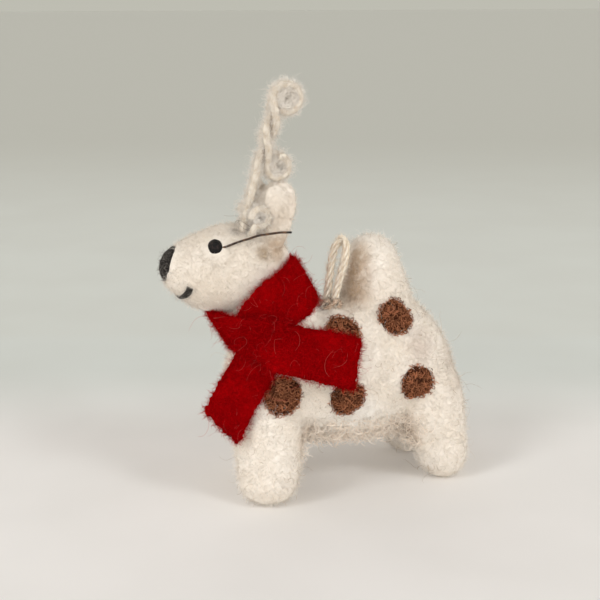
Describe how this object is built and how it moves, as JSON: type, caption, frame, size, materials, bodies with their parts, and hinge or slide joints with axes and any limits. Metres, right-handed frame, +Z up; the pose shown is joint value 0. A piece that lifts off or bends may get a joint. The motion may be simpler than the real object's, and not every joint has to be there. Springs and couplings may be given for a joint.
{
  "type": "felted deer ornament",
  "caption": "Standing needle-felted deer with curled yarn-wrapped wire antlers, a wrapped felt scarf and a twine hanging loop on its back.",
  "frame": {"origin": "on the surface that the feet stand on, under the middle of the ornament's length and width, leaving out the free twine loop", "axes": "+Z up, the deer faces -X, its left side is -Y"},
  "size_m": [0.088, 0.0396, 0.1147],
  "materials": {
    "wool": "matte needle-felted wool, fuzzy",
    "spot_felt": "matte felt, fuzzy",
    "scarf_felt": "matte felt with ragged edges",
    "black_wool": "matte wool",
    "antler_yarn": "fuzzy yarn wrapped on wire",
    "twine": "two-ply natural twine",
    "bead": "glossy",
    "wire": "dull dark wire"
  },
  "bodies": {
    "deer": {"torso": "wool", "neck": "wool", "head": "wool", "tail": "wool", "left_front_leg": "wool", "left_hind_leg": "wool", "right_front_leg": "wool", "right_hind_leg": "wool", "left_ear": "wool", "right_ear": "wool", "left_spot_1": "spot_felt", "left_spot_2": "spot_felt", "left_spot_3": "spot_felt", "left_spot_4": "spot_felt", "left_spot_5": "spot_felt", "right_spot_1": "spot_felt", "right_spot_2": "spot_felt", "right_spot_3": "spot_felt", "right_spot_4": "spot_felt", "right_spot_5": "spot_felt", "scarf_collar": "scarf_felt", "nose": "black_wool", "mouth": "black_wool", "left_antler": "antler_yarn", "right_antler": "antler_yarn", "left_antler_tine": "antler_yarn", "right_antler_tine": "antler_yarn", "left_antler_stem": "wire", "right_antler_stem": "wire", "left_eye_wire": "wire", "left_eye": "bead", "right_eye": "bead", "loop_knot": "twine"},
    "scarf_front_end": {"scarf_front_end": "scarf_felt"},
    "scarf_rear_end": {"scarf_rear_end": "scarf_felt"},
    "hang_loop": {"hang_loop": "twine"}
  },
  "joints": [
    {"name": "scarf_front_end_lift", "type": "hinge", "parent": "deer", "child": "scarf_front_end", "pos_m": [-0.02117, -0.00809, 0.03892], "axis": [-0.6667, 0.6814, 0.3019], "range_deg": [0, 50]},
    {"name": "scarf_rear_end_lift", "type": "hinge", "parent": "deer", "child": "scarf_rear_end", "pos_m": [-0.01247, -0.01548, 0.0445], "axis": [-0.2949, -0.3018, -0.9066], "range_deg": [0, 60]},
    {"name": "hang_loop_swing", "type": "hinge", "parent": "deer", "child": "hang_loop", "pos_m": [0.0031, -0.00217, 0.0548], "axis": [0, -1, 0], "range_deg": [0, 30]}
  ]
}
